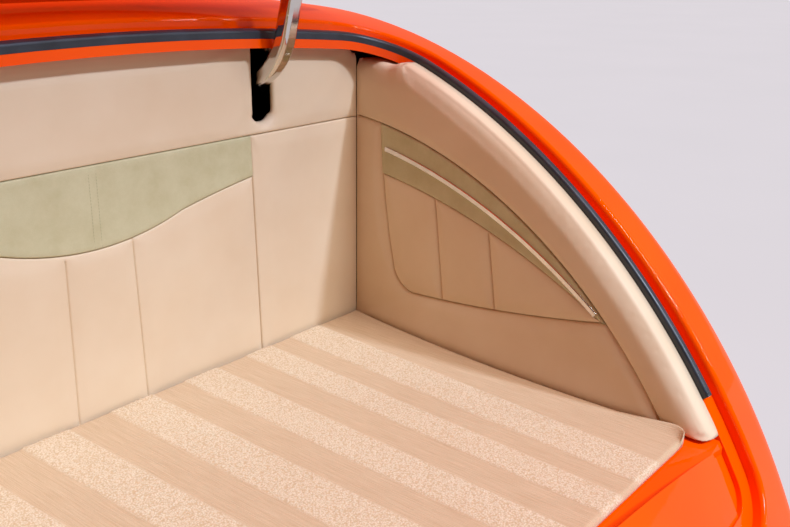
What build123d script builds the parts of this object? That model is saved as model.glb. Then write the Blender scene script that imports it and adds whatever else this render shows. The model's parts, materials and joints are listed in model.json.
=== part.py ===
from build123d import *
from math import sin, cos, asin, atan, radians, degrees, sqrt
import os

# Luggage boot of a cabriolet: the tail of the body with its opening, lining, structure and lid.
# All lengths are millimetres. In the boot's own frame X points to the car's right, Y forward and
# Z up. X is 0 on the centreline, Y is 0 at the carpet's rear edge, Z is 0 on the carpet.

# Tail surface: an arc on the centreline, turned about a cross-wise axis and crowned from side to
# side. The arc passes through the opening's front and lower edges, given in Y and Z.
deck_edge = (684, 544.3)
tail_edge = (-135.7, -112.7)
arc_r = 1216
crown_r = 5200
body_half = 748            # half-width of the body, measured at the bulkhead
body_taper = 0.075         # half-width lost for each millimetre towards the rear
shoulder_r = 92
skin = 2.0
body_front_y = 1005
body_foot_z = -330
foot_flange = 32

# Boot opening in the tail surface
opening_half = 608         # half-width, measured at the bulkhead
opening_split_y = 350
opening_front_r = 130
opening_rear_r = 75
inner_corner_r = 24         # least corner radius of an outline set in from the opening
rim_r = 6
gutter_w = 36
gutter_depth = 19
gutter_t = 2
flange_depth = 32
panel_split_x = 540        # joint between the deck and a quarter panel
tail_split_x = 420
panel_split_y = 300

# Rubber seal on the gutter's inner half
seal_w = 15
seal_top = 7.2
seal_edge_r = 4.5
seal_end_run = 203         # from the seal's cut end to the opening's lower edge, along the arc

# Load space
bulkhead_y = 670           # face of the bulkhead lining
carpet_t = 10
carpet_edge_r = 26
lining_t = 24
side_lining_t = 41.4
seat_gap = 0.3
steel_t = 2

# Bulkhead lining
roll_seam_z = 359
roll_top_depth = 33.5      # under the tail surface
roll_edge_r = 15
roll_corner_r = 42
roll_end_over = 8          # the rounded end is cut off this far in, at the side lining
slot_edge_r = 5
insert_foot_half, insert_top_half = 296, 286
insert_low_z, insert_high_z = 242, 296
slot_x, slot_w, slot_foot_z = 316, 42, 376

# Side lining: arcs given by centre and radius, in Y and Z
seam_y, seam_z, seam_r = 744, -481, 846
roll_side_depth = 21
roll_side_edge_r = 20
roll_tip_r = 26
roll_end_y = -27
roll_rise_y = 570          # ahead of this the roll lies lower, clear of the gutter's flange
roll_low_depth = 44
bow = 20                   # the foot of the lower trim bows into the boot
bow_y, bow_half, bow_height = 350, 320, 85
band_edge = [(602, 268), (424, 231), (149, 117)]
strip_line = [(599, 312), (375, 247), (166, 129)]
insert_front = [(611, 353), (601, 225), (578, 104)]
insert_corner = [(578, 104), (562, 79), (534, 66)]
insert_foot = [(534, 66), (354, 84), (149, 117)]
strip_w, strip_t, strip_edge_r = 9, 5, 2
strip_proud = 2           # how far the strip stands out of the lining

# Lid
lid_gap = 6.5
lid_frame_in = 46          # from the opening's edge to the inner frame
lid_frame_w = 74
lid_frame_t = 13
lid_rib_w = 60
lid_cross_rib_y = 260
lid_hole_r = 15
lid_hole_xs = [75, 155, 235]
lid_hole_ys = [130, 200]
hem_w, hem_t = 10, 1.2
lid_open_deg = 80
pivot_y, pivot_z = 730, 508

# Gooseneck hinges, drawn with the lid closed
arm_w = 27
arm_edge_r = 8
arm_path = [(372, 380), (478, 434), (560, 387.3), (785.4, 407.0), (799.2, 485.7)]
arm_bends = [70, 90, 104]
pin_r = 8
pin_clearance = 0.05
boss_r = 19
pocket_front_y = 822
pocket_foot_z = 366
web_tuck = 5               # how far the web behind the eye runs into the bar
foot_w, foot_t = 46, 4
foot_ys = [378, 474]
foot_bolt_r, foot_bolt_h, foot_bolt_in = 5, 3.5, 14

# Latch under the lid and its striker on the sill, on the centreline
latch_w, latch_rear_y, latch_front_y, latch_foot_z = 56, -25, 15, 24
latch_mouth_w, latch_mouth_h = 20, 17
latch_edge_r = 4
striker_y, striker_w, striker_len, striker_t = -17, 34, 30, 3
loop_r, loop_half, loop_bend_r, loop_top_z = 3.5, 9, 8, 35

# Structure under the floor
floor_t = 3
rail_x, rail_w, rail_h, rail_wall = 400, 70, 82, 3
cross_ys = [60, 560, 930]
cross_w, cross_h = 60, 60
chassis_bolt_r = 6.5
hoop_w, hoop_t, hoop_lip = 44, 4, 26
hoop_bolt_r = 5
hoop_bolt_zs = [-200, 280]

# Sill between the carpet and the lower gutter: a band, then a raised lip with a groove at each end
sill_band = [(14, -12), (-34, -19)]
lip_half = 482
lip_depth = 22
lip_corner_r = 14
sill_groove_depth = 27
sill_tuck = 20             # how far the band and the grooves run in under the lip

# Places that follow from the sizes above
chord_y = deck_edge[0] - tail_edge[0]
chord_z = deck_edge[1] - tail_edge[1]
chord = sqrt(chord_y**2 + chord_z**2)
chord_to_axis = sqrt(arc_r**2 - chord**2 / 4)
arc_y = (deck_edge[0] + tail_edge[0]) / 2 + chord_to_axis * chord_z / chord
arc_z = (deck_edge[1] + tail_edge[1]) / 2 - chord_to_axis * chord_y / chord
opening_front_y = deck_edge[0]
opening_end_deg = degrees(asin((arc_y - tail_edge[0]) / arc_r))
seal_end_deg = opening_end_deg - degrees(seal_end_run / arc_r)
side_steel_half = opening_half - gutter_w + gutter_t
boot_half = side_steel_half - side_lining_t - 2 * seat_gap    # to the face of the side lining
lid_under = skin + lid_frame_t
steel_y = bulkhead_y + lining_t
floor_top_z = -carpet_t
floor_foot_z = floor_top_z - floor_t
rail_foot_z = floor_foot_z - rail_h
hoop_bolt_x = body_half + body_taper * (body_front_y - bulkhead_y) - skin - hoop_w / 2

# The finished piece stands on its foot with its origin under the middle of its box
tail_rear_y = arc_y - sqrt(arc_r**2 - (body_foot_z - arc_z)**2)
centre_y = (tail_rear_y + body_front_y) / 2
to_stand = Pos(0, -centre_y, -body_foot_z)

BIG = 4000                 # beyond every piece
FAR = BIG / 3


def crowned(depth):
    """Everything under the tail surface, from a given depth below the paint."""
    r_crown = crown_r - depth
    half = 1.2 * body_half
    edge = sqrt(r_crown**2 - half**2) + arc_r - crown_r
    top = arc_r - depth
    profile = make_face([
        Line((-half, 0), (-half, edge)),
        ThreePointArc((-half, edge), (0, top), (half, edge)),
        Line((half, edge), (half, 0)),
        Line((half, 0), (-half, 0)),
    ])
    turned = revolve(Rot(70, 0, 0) * profile, Axis.X, 110)
    return Pos(0, arc_y, arc_z) * turned


def crown_drop(x):
    """How far the crown lowers the tail surface at a distance from the centreline."""
    return crown_r - sqrt(crown_r**2 - x**2)


def surface_z(x, y, depth):
    return arc_z + sqrt((arc_r - depth - crown_drop(x))**2 - (arc_y - y)**2)


def layer(top_depth, foot_depth):
    """The curved layer between two depths below the paint."""
    return crowned(top_depth) - crowned(foot_depth)


def ahead_of(angle_deg):
    """Half-space in front of a radial plane, its angle taken back from the top of the arc."""
    block = Box(BIG, BIG, BIG, align=(Align.CENTER, Align.MIN, Align.CENTER))
    return Pos(0, arc_y, arc_z) * Rot(angle_deg, 0, 0) * block


def half_width(base, y):
    """Half-width of a tapered outline at a place along the car."""
    return base + body_taper * (y - bulkhead_y)


def tapered_block(base, y_rear, y_front, z_low, z_high):
    """Upright block whose sides follow the taper of the body."""
    plan = Polygon(
        (half_width(base, y_front), y_front),
        (-half_width(base, y_front), y_front),
        (-half_width(base, y_rear), y_rear),
        (half_width(base, y_rear), y_rear),
        align=None,
    )
    return Pos(0, 0, z_low) * extrude(plan, z_high - z_low)


def opening(offset):
    """Prism of the boot opening, moved outwards by an offset."""
    front = tapered_block(opening_half + offset, opening_split_y, opening_front_y + offset, 0, FAR)
    corners = front.edges().filter_by(Axis.Z).group_by(Axis.Y)[-1]
    front = fillet(corners, max(opening_front_r + offset, inner_corner_r))
    end_deg = opening_end_deg + degrees(offset / arc_r)
    rear = tapered_block(opening_half + offset, -FAR, opening_split_y, -FAR, FAR) & ahead_of(end_deg)
    low_edges = [e for e in rear.edges() if abs(e.center().X) > opening_half / 3 and is_radial(e, end_deg)]
    rear = fillet(low_edges, max(opening_rear_r + offset, inner_corner_r))
    return (front + rear).clean()


def is_radial(edge, angle_deg):
    """True for an edge that runs straight out from the arc's axis at an angle."""
    run = edge % 0.5
    out = Vector(0, -sin(radians(angle_deg)), cos(radians(angle_deg)))
    return abs(run.dot(out)) > 0.95


def body_form(depth, z_low):
    """Closed form of the tail with its rounded shoulders, at a depth below the paint."""
    block = tapered_block(body_half - depth, -FAR, body_front_y + depth, z_low, FAR)
    form = crowned(depth) & block
    shoulders = [
        e for e in form.edges()
        if abs(e.center().X) > body_half / 2 and e.geom_type != GeomType.LINE
    ]
    return fillet(shoulders, shoulder_r - depth)


def side_mirror(shape):
    return mirror(shape, about=Plane.YZ)


def right_side(shape):
    """Turns a piece drawn straight along the car to the taper of the right-hand lining."""
    turn = Pos(boot_half, bulkhead_y, 0) * Rot(0, 0, -degrees(atan(body_taper)))
    return turn * Pos(-boot_half, -bulkhead_y, 0) * shape


def make_shell():
    """Painted skin with the rolled rim of the opening."""
    wall_foot = gutter_depth + gutter_t
    outer = body_form(0, body_foot_z) - (opening(0) - crowned(wall_foot))
    inner = body_form(skin, body_foot_z - 10) - (opening(skin) - crowned(wall_foot))
    rim = rim_edges(outer, 0)
    outer = fillet(rim, rim_r)
    rim = rim_edges(inner, skin)
    inner = fillet(rim, rim_r - skin)
    flange = body_form(0, body_foot_z) & slab(body_foot_z, body_foot_z + skin)
    flange -= body_form(foot_flange, body_foot_z - 10)
    return (outer - inner - opening(0)) + flange


def slab(z_low, z_high):
    return Pos(0, 0, z_low) * Box(BIG, BIG, z_high - z_low, align=(Align.CENTER, Align.CENTER, Align.MIN))


def rim_edges(form, depth):
    """Edges where the opening's wall meets the painted surface."""
    found = []
    for e in form.edges():
        p = e @ 0.5
        on_surface = abs(depth_of(p) - depth) < 0.5
        inside = abs(p.X) < half_width(opening_half + depth, p.Y) + 1 and p.Y < opening_front_y + depth + 1
        low = angle_of(p) < opening_end_deg + 0.3
        if on_surface and inside and low:
            found.append(e)
    return found


def depth_of(p):
    """Depth of a point below the paint, ignoring the shoulders."""
    r = sqrt((arc_y - p.Y)**2 + (p.Z - arc_z)**2)
    return arc_r - crown_drop(p.X) - r


def angle_of(p):
    r = sqrt((arc_y - p.Y)**2 + (p.Z - arc_z)**2)
    return degrees(asin((arc_y - p.Y) / r))


def make_panels():
    """Deck, quarter and tail panels, cut from the one skin where the real panels are joined."""
    shell = make_shell()
    deck_zone = Box(2 * panel_split_x, BIG, BIG) & across(panel_split_y, FAR)
    tail_zone = Box(2 * tail_split_x, BIG, BIG) & across(-FAR, panel_split_y)
    right_half = Box(BIG, BIG, BIG, align=(Align.MIN, Align.CENTER, Align.CENTER))
    quarter = (shell - deck_zone - tail_zone) & right_half
    return shell & deck_zone, shell & tail_zone, quarter


def make_gutter():
    """Channel round the opening, with the flange that hangs inside the boot."""
    floor = layer(gutter_depth, gutter_depth + gutter_t) & opening(0)
    flange = layer(gutter_depth, flange_depth) & opening(gutter_t - gutter_w)
    return (floor + flange) - opening(-gutter_w)


def make_seal():
    """Rubber seal on the gutter's inner half, on its front and sides, cut square at its ends."""
    band = layer(seal_top, gutter_depth - seat_gap) & (opening(seal_w - gutter_w) - opening(-gutter_w))
    band = band & ahead_of(seal_end_deg)
    top = [e for e in band.edges() if abs(depth_of(e @ 0.5) - seal_top) < 0.2 and e.length > 40]
    return fillet(top, seal_edge_r)


def across(y_low, y_high):
    """Slab between two places along the car."""
    return Pos(0, y_low, 0) * Box(BIG, y_high - y_low, BIG, align=(Align.CENTER, Align.MIN, Align.CENTER))


def hinge_window(width, foot_z, y_low, y_high):
    """Block through which a hinge arm passes, on the right-hand side."""
    return Pos(slot_x, y_low, foot_z) * Box(
        width, y_high - y_low, BIG, align=(Align.CENTER, Align.MIN, Align.MIN))


def make_bulkhead():
    """Steel wall at the front of the boot, full width, with a window for each hinge arm."""
    wall = body_form(skin, floor_foot_z) & across(steel_y, steel_y + steel_t)
    window = hinge_window(slot_w, slot_foot_z, steel_y - 1, steel_y + steel_t + 1)
    return wall - window - side_mirror(window)


def make_hinge_pocket():
    """Open-topped steel pocket ahead of the bulkhead that holds the hinge pin."""
    y_low = steel_y + steel_t
    outer = Pos(slot_x, y_low, pocket_foot_z) * Box(
        slot_w + 2 * steel_t, pocket_front_y - y_low, BIG,
        align=(Align.CENTER, Align.MIN, Align.MIN))
    inner = Pos(slot_x, y_low - 1, pocket_foot_z + steel_t) * Box(
        slot_w, pocket_front_y - y_low - steel_t + 1, BIG,
        align=(Align.CENTER, Align.MIN, Align.MIN))
    pin = Pos(slot_x, pivot_y, pivot_z) * Rot(0, 90, 0) * Cylinder(pin_r, slot_w + 2 * steel_t)
    return ((outer - inner) & crowned(skin)) + pin


def make_inner_side():
    """Steel wall behind the right-hand side lining."""
    wall = tapered_block(side_steel_half + steel_t, -FAR, steel_y, floor_foot_z, FAR)
    wall -= tapered_block(side_steel_half, -FAR - 1, steel_y + 1, floor_foot_z - 1, FAR + 1)
    wall = wall & crowned(gutter_depth + gutter_t)
    return wall & Box(BIG, BIG, BIG, align=(Align.MIN, Align.CENTER, Align.CENTER))


def make_floor_pan():
    return tapered_block(side_steel_half, sill_band[0][0], steel_y, floor_foot_z, floor_top_z)


def tube(width, height, length, wall):
    """Square tube along Y, from Y 0, its top at Z 0."""
    outer = Box(width, length, height, align=(Align.CENTER, Align.MIN, Align.MAX))
    inner = Pos(0, -1, -wall) * Box(
        width - 2 * wall, length + 2, height - 2 * wall, align=(Align.CENTER, Align.MIN, Align.MAX))
    return outer - inner


def make_rail():
    rail = Pos(rail_x, sill_band[0][0], floor_foot_z) * tube(
        rail_w, rail_h, body_front_y - hoop_t - sill_band[0][0], rail_wall)
    return drilled(rail)


def drilled(piece):
    for x in (-rail_x, rail_x):
        for y in (cross_ys[0], cross_ys[-1]):
            foot = rail_foot_z - cross_h - 1
            drill = Pos(x, y, foot) * Cylinder(
                chassis_bolt_r, cross_h + rail_wall + 2, align=(Align.CENTER, Align.CENTER, Align.MIN))
            piece = piece - drill
    return piece


def make_cross_member(y):
    """Square tube under the rails, from one side of the body to the other."""
    bar = Pos(-FAR, y, rail_foot_z) * Rot(0, 0, -90) * tube(cross_w, cross_h, 2 * FAR, rail_wall)
    bar = bar & body_form(skin, body_foot_z)
    return drilled(bar)


def make_hoop():
    """Hoop inside the front edge of the skin, where the section is bolted to the rest of the body."""
    foot_z = body_foot_z + skin
    plate = body_form(skin, foot_z) - body_form(skin + hoop_w, foot_z - 10)
    plate = plate & across(body_front_y - hoop_t, body_front_y)
    lip = body_form(skin, foot_z) - body_form(skin + hoop_t, foot_z - 10)
    lip = lip & across(body_front_y - hoop_t - hoop_lip, body_front_y)
    hoop = plate + lip
    for x in (-hoop_bolt_x, hoop_bolt_x):
        for z in hoop_bolt_zs:
            hoop = hoop - Pos(x, body_front_y, z) * Rot(90, 0, 0) * Cylinder(hoop_bolt_r, 4 * hoop_t)
    return hoop


def make_lip(inset):
    """Solid under the sill's raised lip, its front corners rounded."""
    half = lip_half - inset
    front_y = sill_band[1][0] - inset
    lip = Box(2 * half, BIG, BIG) & across(-FAR, front_y) & slab(body_foot_z, FAR)
    corners = [e for e in lip.edges().filter_by(Axis.Z) if e.center().Y > front_y - 1]
    return fillet(corners, lip_corner_r - inset) & crowned(lip_depth + inset)


def sill_form(inset):
    """Solid form under the sill."""
    (front_y, front_z), (ridge_y, ridge_z) = sill_band
    fall = (front_z - ridge_z) / (front_y - ridge_y)
    form = make_lip(inset)
    for half, rear_y in ((body_half, ridge_y + inset), (lip_half - inset, ridge_y - sill_tuck)):
        rear_z = front_z + fall * (rear_y - front_y) - inset
        band = Polygon((front_y, front_z - inset), (rear_y, rear_z), (rear_y, -FAR), (front_y, -FAR), align=None)
        form += extrude_x(band, -half, half)
    groove = crowned(sill_groove_depth + inset) & across(-FAR, ridge_y + inset)
    form += groove - Box(2 * (lip_half - sill_tuck), BIG, BIG)
    return form & crowned(lip_depth + inset)


def make_sill():
    """Painted panel from the carpet's rear edge down to the lower gutter."""
    return (sill_form(0) - sill_form(steel_t)) & opening(-gutter_w) & slab(body_foot_z, FAR)


def in_yz(x):
    """Plane at an X in which a face is drawn in (Y, Z)."""
    return Plane(origin=(x, 0, 0), x_dir=(0, 1, 0), z_dir=(1, 0, 0))


def extrude_x(face, x_low, x_high):
    """Extrudes a face drawn in (Y, Z) from one X to another."""
    return extrude(in_yz(x_low) * face, x_high - x_low)


def arc(points):
    return ThreePointArc(*points)


def seam_point(y):
    """Point of the side lining's long seam at a place along the car."""
    return (y, seam_z + sqrt(seam_r**2 - (seam_y - y)**2))


def side_piece(face, thickness):
    return right_side(extrude_x(face, boot_half, boot_half + thickness))


seam_front = seam_point(bulkhead_y)
seam_foot = (seam_y - sqrt(seam_r**2 - (floor_top_z - seam_z)**2), floor_top_z)


def seam_arc(start_y, end_y):
    return arc([seam_point(start_y), seam_point((start_y + end_y) / 2), seam_point(end_y)])


def insert_outline():
    """Face inside the insert's outline, under the long seam."""
    top = seam_arc(insert_front[0][0], insert_foot[-1][0])
    a, b = top @ 0, top @ 1
    front = ThreePointArc(a, insert_front[1], insert_front[2])
    corner = arc(insert_corner)
    foot = ThreePointArc(insert_foot[0], insert_foot[1], b)
    return make_face([front, corner, foot, top])


def above_line(points):
    """Face above a line that runs across the insert."""
    line = arc(points)
    a, b = line @ 0, line @ 1
    start, end = (a.X + 20, a.Y + 4), (b.X - 12, b.Y - 12)
    up = [Line((a.X, a.Y), start), Line(start, (start[0], 600)), Line((start[0], 600), (end[0], 600)),
          Line((end[0], 600), end), Line(end, (b.X, b.Y))]
    return make_face([line] + up)


def make_side_lining():
    """Right-hand side lining as its separate pieces."""
    insert = insert_outline()
    top_zone = above_line(band_edge)
    band = insert & top_zone
    pleated = insert - top_zone
    lower = make_face([
        Line((bulkhead_y, floor_top_z), seam_front),
        seam_arc(bulkhead_y, seam_foot[0]),
        Line(seam_foot, (bulkhead_y, floor_top_z)),
    ]) - insert
    groove = make_strip(seat_gap)
    foot = right_side(extrude_x(lower, boot_half - bow - 1, boot_half)) & bow_form(0)
    pieces = {
        "side_lower_trim": side_piece(lower, side_lining_t) + foot,
        "side_suede_band": side_piece(band, side_lining_t) - groove,
        "side_pleated_insert": side_piece(pleated, side_lining_t) - groove,
        "side_moulding": make_strip(0),
        "side_roll": make_side_roll(),
    }
    return pieces


def bow_form(clearance):
    """Leaning cylinder whose near side bows the foot of the right-hand trim into the boot."""
    r = (bow_half**2 + bow**2) / (2 * bow)
    lean = atan(bow / bow_height)
    centre = Pos(boot_half - bow + r / cos(lean), bow_y, floor_top_z)
    return right_side(centre * Rot(0, degrees(lean), 0) * Cylinder(r + clearance, FAR))


def make_strip(clearance):
    """Polished strip let into the suede band, or with a clearance the groove that holds it."""
    line = arc(strip_line)
    plane = Plane(origin=(boot_half + strip_t / 2 - strip_proud, 0, 0), x_dir=(0, 1, 0), z_dir=(1, 0, 0))
    path = plane * line
    section = Plane(origin=path @ 0, x_dir=(1, 0, 0), z_dir=path % 0) * RectangleRounded(
        strip_t + 2 * clearance, strip_w + 2 * clearance, strip_edge_r)
    return right_side(sweep(section, path=path))


def make_side_roll():
    """Padded roll along the top of the side lining, tucked under the gutter and rounded inside it."""
    corners = [seam_foot, (roll_end_y, floor_top_z), (roll_end_y, FAR), (bulkhead_y, FAR), seam_front]
    lines = [Line(a, b) for a, b in zip(corners, corners[1:])]
    above_seam = side_piece(make_face([seam_arc(bulkhead_y, seam_foot[0])] + lines), side_lining_t)
    rear = across(-FAR, roll_rise_y)
    low = above_seam & crowned(flange_depth + 1) & rear
    front = above_seam & crowned(roll_low_depth)
    return low + front + (rounded_roll() & above_seam & rear)


def rounded_roll():
    """The visible side of the side roll, before it is cut at its seam and at the floor."""
    bar = Pos(boot_half, roll_end_y, 0) * Box(
        side_lining_t, FAR, BIG, align=(Align.MIN, Align.MIN, Align.CENTER))
    tip = bar.edges().filter_by(Axis.Z).sort_by(Axis.Y)[:2].sort_by(Axis.X)[0]
    bar = right_side(fillet(tip, roll_tip_r))
    bar = bar & crowned(roll_side_depth) & opening(-gutter_w - seat_gap)
    top = [e for e in bar.edges() if abs(depth_of(e @ 0.5) - roll_side_depth) < 0.2 and on_face(e @ 0.5)]
    return fillet(top, roll_side_edge_r)


def on_face(p):
    """True for a point on the inner face of the right-hand lining."""
    return abs(p.X - half_width(boot_half, p.Y)) < 0.2


def make_bulkhead_roll():
    """Padded roll along the top of the bulkhead, with a slot for each hinge arm."""
    roll = Pos(0, bulkhead_y, roll_seam_z - roll_edge_r) * Box(
        2 * (boot_half + roll_end_over), lining_t, BIG, align=(Align.CENTER, Align.MIN, Align.MIN))
    roll = roll & crowned(roll_top_depth)
    ends = [e for e in roll.edges() if abs((e % 0.5).Y) > 0.9 and e.center().Z > roll_seam_z]
    roll = fillet(ends, roll_corner_r)
    face = roll.faces().sort_by(Axis.Y)[0]
    front = [e for e in face.edges() if e.center().Z > roll_seam_z]
    roll = fillet(front, roll_edge_r)
    roll = roll & Box(2 * boot_half, BIG, BIG) & slab(roll_seam_z, FAR)
    slot = slot_cut()
    return roll - slot - side_mirror(slot)


def make_bulkhead_lining():
    """Padded lining of the bulkhead as its separate pieces."""
    field = Polygon((insert_foot_half, floor_top_z), (insert_top_half, roll_seam_z),
                    (-insert_top_half, roll_seam_z), (-insert_foot_half, floor_top_z), align=None)
    outer = Polygon((insert_foot_half, floor_top_z), (boot_half, floor_top_z),
                    (boot_half, roll_seam_z), (insert_top_half, roll_seam_z), align=None)
    pleated = field & make_face(insert_edge())
    faces = {
        "bulkhead_outer_panel": outer,
        "bulkhead_suede_insert": field - pleated,
        "bulkhead_pleated_panel": pleated,
    }
    pieces = {name: extrude_y(face, bulkhead_y, steel_y) for name, face in faces.items()}
    return pieces | {"bulkhead_roll": make_bulkhead_roll()}


def insert_edge():
    """Outline of the pleated field: its top edge swings down to the centreline."""
    half = insert_foot_half
    mid_x = half / 2
    mid_z = (insert_low_z + insert_high_z) / 2
    quarter_drop = (insert_high_z - insert_low_z) * 0.1
    right_out = ThreePointArc((half, insert_high_z), (mid_x * 1.5, insert_high_z - 2.2 * quarter_drop),
                              (mid_x, mid_z))
    right_in = ThreePointArc((mid_x, mid_z), (mid_x * 0.5, insert_low_z + 1.25 * quarter_drop),
                             (0, insert_low_z))
    left_in = mirror(right_in, about=Plane.YZ)
    left_out = mirror(right_out, about=Plane.YZ)
    return [right_out, right_in, left_in, left_out,
            Line((-half, insert_high_z), (-half, floor_top_z)),
            Line((-half, floor_top_z), (half, floor_top_z)),
            Line((half, floor_top_z), (half, insert_high_z))]


def extrude_y(face, y_low, y_high):
    """Extrudes a face drawn in (X, Z) from one Y to another."""
    plane = Plane(origin=(0, y_low, 0), x_dir=(1, 0, 0), z_dir=(0, -1, 0))
    return extrude(plane * face, -(y_high - y_low))


def slot_cut():
    """Round-ended slot for the right-hand hinge arm, open at the top."""
    r = slot_w / 2
    foot = Pos(slot_x, slot_foot_z + r) * Circle(r)
    face = foot + Pos(slot_x, slot_foot_z + r) * Rectangle(slot_w, FAR, align=(Align.CENTER, Align.MIN))
    return extrude_y(face, bulkhead_y - 1, steel_y + 1)


def make_carpet():
    carpet = tapered_block(boot_half - seat_gap, 0, bulkhead_y - seat_gap, floor_top_z, 0)
    corners = carpet.edges().filter_by(Axis.Z).group_by(Axis.Y)[0]
    carpet = fillet(corners, carpet_edge_r)
    trim_foot = bow_form(seat_gap)
    return carpet - trim_foot - side_mirror(trim_foot)


def opened(shape):
    """Turns a piece of the closed lid to its open rest position."""
    hinge = Pos(0, pivot_y, pivot_z)
    return hinge * Rot(-lid_open_deg, 0, 0) * Pos(0, -pivot_y, -pivot_z) * shape


def make_lid_skin():
    """The lid's outer skin, its edge folded back as a hem."""
    hem = opening(-lid_gap) - opening(-lid_gap - hem_w)
    return (layer(0, skin) & opening(-lid_gap)) + (layer(skin, skin + hem_t) & hem)


def make_lid_frame():
    """Pressed frame under the lid's skin: a ring with ribs, open towards the skin."""
    form = frame_plan(0) & layer(skin, lid_under)
    form -= frame_plan(steel_t) & layer(skin - 1, lid_under - steel_t)
    middle_y = lid_cross_rib_y + lid_rib_w / 2
    spots = [(x * side, middle_y) for x in lid_hole_xs for side in (-1, 1)]
    spots += [(0, y) for y in lid_hole_ys]
    for x, y in spots:
        form -= Pos(x, y, 0) * Cylinder(lid_hole_r, BIG)
    return form


def frame_plan(inset):
    outer = opening(-lid_frame_in - inset)
    hole = opening(-lid_frame_in - lid_frame_w + inset)
    rib = Pos(slot_x, 0, 0) * Box(lid_rib_w - 2 * inset, BIG, BIG)
    middle = across(lid_cross_rib_y + inset, lid_cross_rib_y + lid_rib_w - inset)
    latch_rib = Box(lid_rib_w - 2 * inset, BIG, BIG) & across(-FAR, lid_cross_rib_y + lid_rib_w / 2)
    holes = hole - rib - side_mirror(rib) - middle - latch_rib
    return outer - holes


def make_arm():
    """Polished gooseneck arm with its eye on the hinge pin, lid closed, right-hand side."""
    plane = Plane(origin=(slot_x, 0, 0), x_dir=(0, 1, 0), z_dir=(1, 0, 0))
    path = plane * FilletPolyline(*arm_path, radius=arm_bends)
    section = Plane(origin=path @ 0, x_dir=(1, 0, 0), z_dir=path % 0) * RectangleRounded(
        arm_w, arm_w, arm_edge_r)
    bar = sweep(section, path=path) & crowned(lid_under)
    end_y, end_z = arm_path[-1]
    web = Polygon((end_y - arm_w / 2, end_z - web_tuck), (end_y + arm_w / 2, end_z - web_tuck),
                  (pivot_y + web_tuck, pivot_z + boss_r - web_tuck / 2),
                  (pivot_y - web_tuck, pivot_z - boss_r + web_tuck / 2), align=None)
    web = extrude_x(web, slot_x - arm_w / 2, slot_x + arm_w / 2)
    eye = Pos(slot_x, pivot_y, pivot_z) * Rot(0, 90, 0) * Cylinder(boss_r, arm_w)
    hole = Pos(slot_x, pivot_y, pivot_z) * Rot(0, 90, 0) * Cylinder(pin_r + pin_clearance, 2 * arm_w)
    return bar + web + eye - hole + make_arm_foot()


def make_arm_foot():
    """Plate by which an arm is bolted to the lid's frame, with the heads of its four bolts."""
    plate = layer(lid_under, lid_under + foot_t) & across(*foot_ys)
    plate = plate & (Pos(slot_x, 0, 0) * Box(foot_w, BIG, BIG))
    corners = [e for e in plate.edges() if abs((e % 0.5).Z) > 0.7 and e.length < 2 * foot_t]
    plate = fillet(corners, foot_bolt_r)
    x_out = foot_w / 2 - foot_bolt_r - 1
    for x in (slot_x - x_out, slot_x + x_out):
        for y in (foot_ys[0] + foot_bolt_in, foot_ys[1] - foot_bolt_in):
            tilt = degrees(asin((arc_y - y) / arc_r))
            seat = Pos(x, y, surface_z(x, y, lid_under + foot_t)) * Rot(tilt, 0, 0)
            plate += seat * extrude(RegularPolygon(foot_bolt_r, 6), foot_bolt_h, both=True)
    return plate & crowned(lid_under)


def make_latch():
    """Latch housing under the lid's middle rib, with an open mouth for the striker's loop."""
    body = Box(latch_w, BIG, BIG) & across(latch_rear_y, latch_front_y) & slab(latch_foot_z, FAR)
    body = fillet(body.edges().filter_by(Axis.Z), latch_edge_r) & crowned(lid_under + seat_gap)
    mouth = Box(latch_mouth_w, BIG, BIG) & slab(-FAR, latch_foot_z + latch_mouth_h)
    return body - mouth


def make_striker():
    """Striker on the sill's band: a plate with a bent loop of round bar."""
    (front_y, front_z), (ridge_y, ridge_z) = sill_band
    slope = (front_z - ridge_z) / (front_y - ridge_y)
    seat_z = front_z + slope * (striker_y - front_y)
    seat = Pos(0, striker_y, seat_z) * Rot(degrees(atan(slope)), 0, 0)
    plate = Box(striker_w, striker_len, striker_t, align=(Align.CENTER, Align.CENTER, Align.MIN))
    plate = fillet(plate.edges().filter_by(Axis.Z), latch_edge_r)
    foot_z, top_z = seat_z + 0.75 * striker_t, loop_top_z - loop_r
    path = in_yz(0) * FilletPolyline(
        (striker_y - loop_half, foot_z), (striker_y - loop_half, top_z),
        (striker_y + loop_half, top_z), (striker_y + loop_half, foot_z), radius=loop_bend_r)
    loop = sweep(Plane(origin=path @ 0, z_dir=path % 0) * Circle(loop_r), path=path)
    return seat * plate + loop


def write(pieces):
    os.makedirs("parts", exist_ok=True)
    for name, shape in pieces.items():
        export_step(to_stand * shape, f"parts/{name}.step")


def pair(name, shape):
    """A right-hand piece and its mirror image."""
    return {name + "_right": shape, name + "_left": side_mirror(shape)}


def make_all():
    deck, tail, quarter = make_panels()
    pieces = {"deck_panel": deck, "tail_panel": tail, "gutter": make_gutter(), "weatherstrip": make_seal()}
    pieces |= pair("quarter_panel", quarter)
    pieces |= pair("inner_side", make_inner_side())
    pieces |= pair("hinge_pocket", make_hinge_pocket())
    pieces |= pair("floor_rail", make_rail())
    pieces |= {
        "bulkhead": make_bulkhead(),
        "floor_pan": make_floor_pan(),
        "front_hoop": make_hoop(),
        "sill_panel": make_sill(),
        "striker": make_striker(),
        "carpet": make_carpet(),
    }
    for place, y in zip(("rear", "middle", "front"), cross_ys):
        pieces["cross_member_" + place] = make_cross_member(y)
    lining = make_bulkhead_lining()
    pieces |= pair("bulkhead_outer_panel", lining.pop("bulkhead_outer_panel"))
    pieces |= lining
    for name, shape in make_side_lining().items():
        pieces |= pair(name, shape)
    lid = {"lid_skin": make_lid_skin(), "lid_frame": make_lid_frame(), "lid_latch": make_latch()}
    pieces |= {name: opened(shape) for name, shape in lid.items()}
    pieces |= pair("hinge_arm", opened(make_arm()))
    return pieces


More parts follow.
